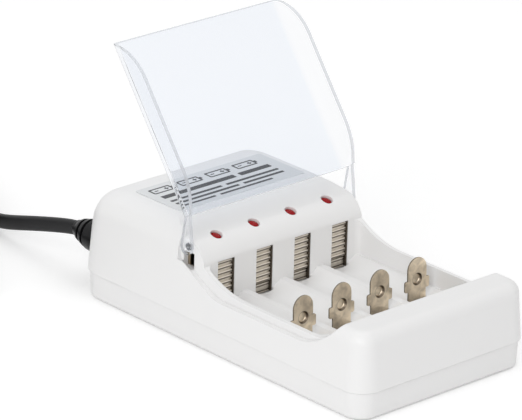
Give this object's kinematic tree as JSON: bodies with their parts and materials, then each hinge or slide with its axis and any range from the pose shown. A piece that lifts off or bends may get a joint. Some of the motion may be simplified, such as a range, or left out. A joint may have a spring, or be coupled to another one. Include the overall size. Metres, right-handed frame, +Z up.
{
  "type": "battery charger",
  "caption": "Mains battery charger with lanes for AA or AAA cells, sprung sliding contacts, indicator lamps, a hinged clear lid and a coiled power lead.",
  "frame": {"origin": "centre of the housing on the surface it stands on", "axes": "+X across the lanes, +Y from the nose to the end with the power lead, +Z up"},
  "size_m": [0.119, 0.2553, 0.0872],
  "materials": {
    "tray": "moulded, satin",
    "shell": "moulded, soft gloss",
    "lid": "clear, polished",
    "contacts": "nickel plated",
    "springs": "drawn wire",
    "lamps": "tinted lens, unlit",
    "board": "laminate",
    "diodes": "moulded",
    "resistors": "lacquered",
    "core": "varnished sheet steel",
    "winding": "taped",
    "label": "printed film, silver",
    "screws": "plated",
    "cord": "satin",
    "tie": "satin",
    "plug": "fine texture",
    "blades": "nickel plated"
  },
  "bodies": {
    "housing": {"base_tray": "tray", "top_cover": "shell", "ribbed_contact_1": "contacts", "ribbed_contact_2": "contacts", "ribbed_contact_3": "contacts", "ribbed_contact_4": "contacts", "contact_spring_1": "springs", "contact_spring_2": "springs", "contact_spring_3": "springs", "contact_spring_4": "springs", "lamp_1": "lamps", "lamp_2": "lamps", "lamp_3": "lamps", "lamp_4": "lamps", "circuit_board": "board", "supply_tags": "contacts", "rectifier_diodes": "diodes", "charge_resistors": "resistors", "transformer_core": "core", "transformer_winding": "winding", "top_label": "label", "housing_screws": "screws", "strain_relief": "cord", "mains_cord": "cord", "cord_coil": "cord", "coil_tie": "tie", "plug_lead": "cord", "plug_body": "plug", "plug_blades": "blades"},
    "lid": {"clear_lid": "lid"},
    "contact_1": {"sliding_contact_1": "contacts"},
    "contact_2": {"sliding_contact_2": "contacts"},
    "contact_3": {"sliding_contact_3": "contacts"},
    "contact_4": {"sliding_contact_4": "contacts"}
  },
  "joints": [
    {"name": "lid_hinge", "type": "hinge", "parent": "housing", "child": "lid", "pos_m": [0, 0.0145, 0.0312], "axis": [1, 0, 0], "range_deg": [0, 126.6]},
    {"name": "contact_1_slide", "type": "slide", "parent": "housing", "child": "contact_1", "axis": [0, -1, 0], "range_m": [0, 0.0165], "stiffness_N_per_m": 120, "springref_m": -0.008, "deforming": ["contact_spring_1"]},
    {"name": "contact_2_slide", "type": "slide", "parent": "housing", "child": "contact_2", "axis": [0, -1, 0], "range_m": [0, 0.0165], "stiffness_N_per_m": 120, "springref_m": -0.008, "deforming": ["contact_spring_2"]},
    {"name": "contact_3_slide", "type": "slide", "parent": "housing", "child": "contact_3", "axis": [0, -1, 0], "range_m": [0, 0.0165], "stiffness_N_per_m": 120, "springref_m": -0.008, "deforming": ["contact_spring_3"]},
    {"name": "contact_4_slide", "type": "slide", "parent": "housing", "child": "contact_4", "axis": [0, -1, 0], "range_m": [0, 0.0165], "stiffness_N_per_m": 120, "springref_m": -0.008, "deforming": ["contact_spring_4"]}
  ]
}
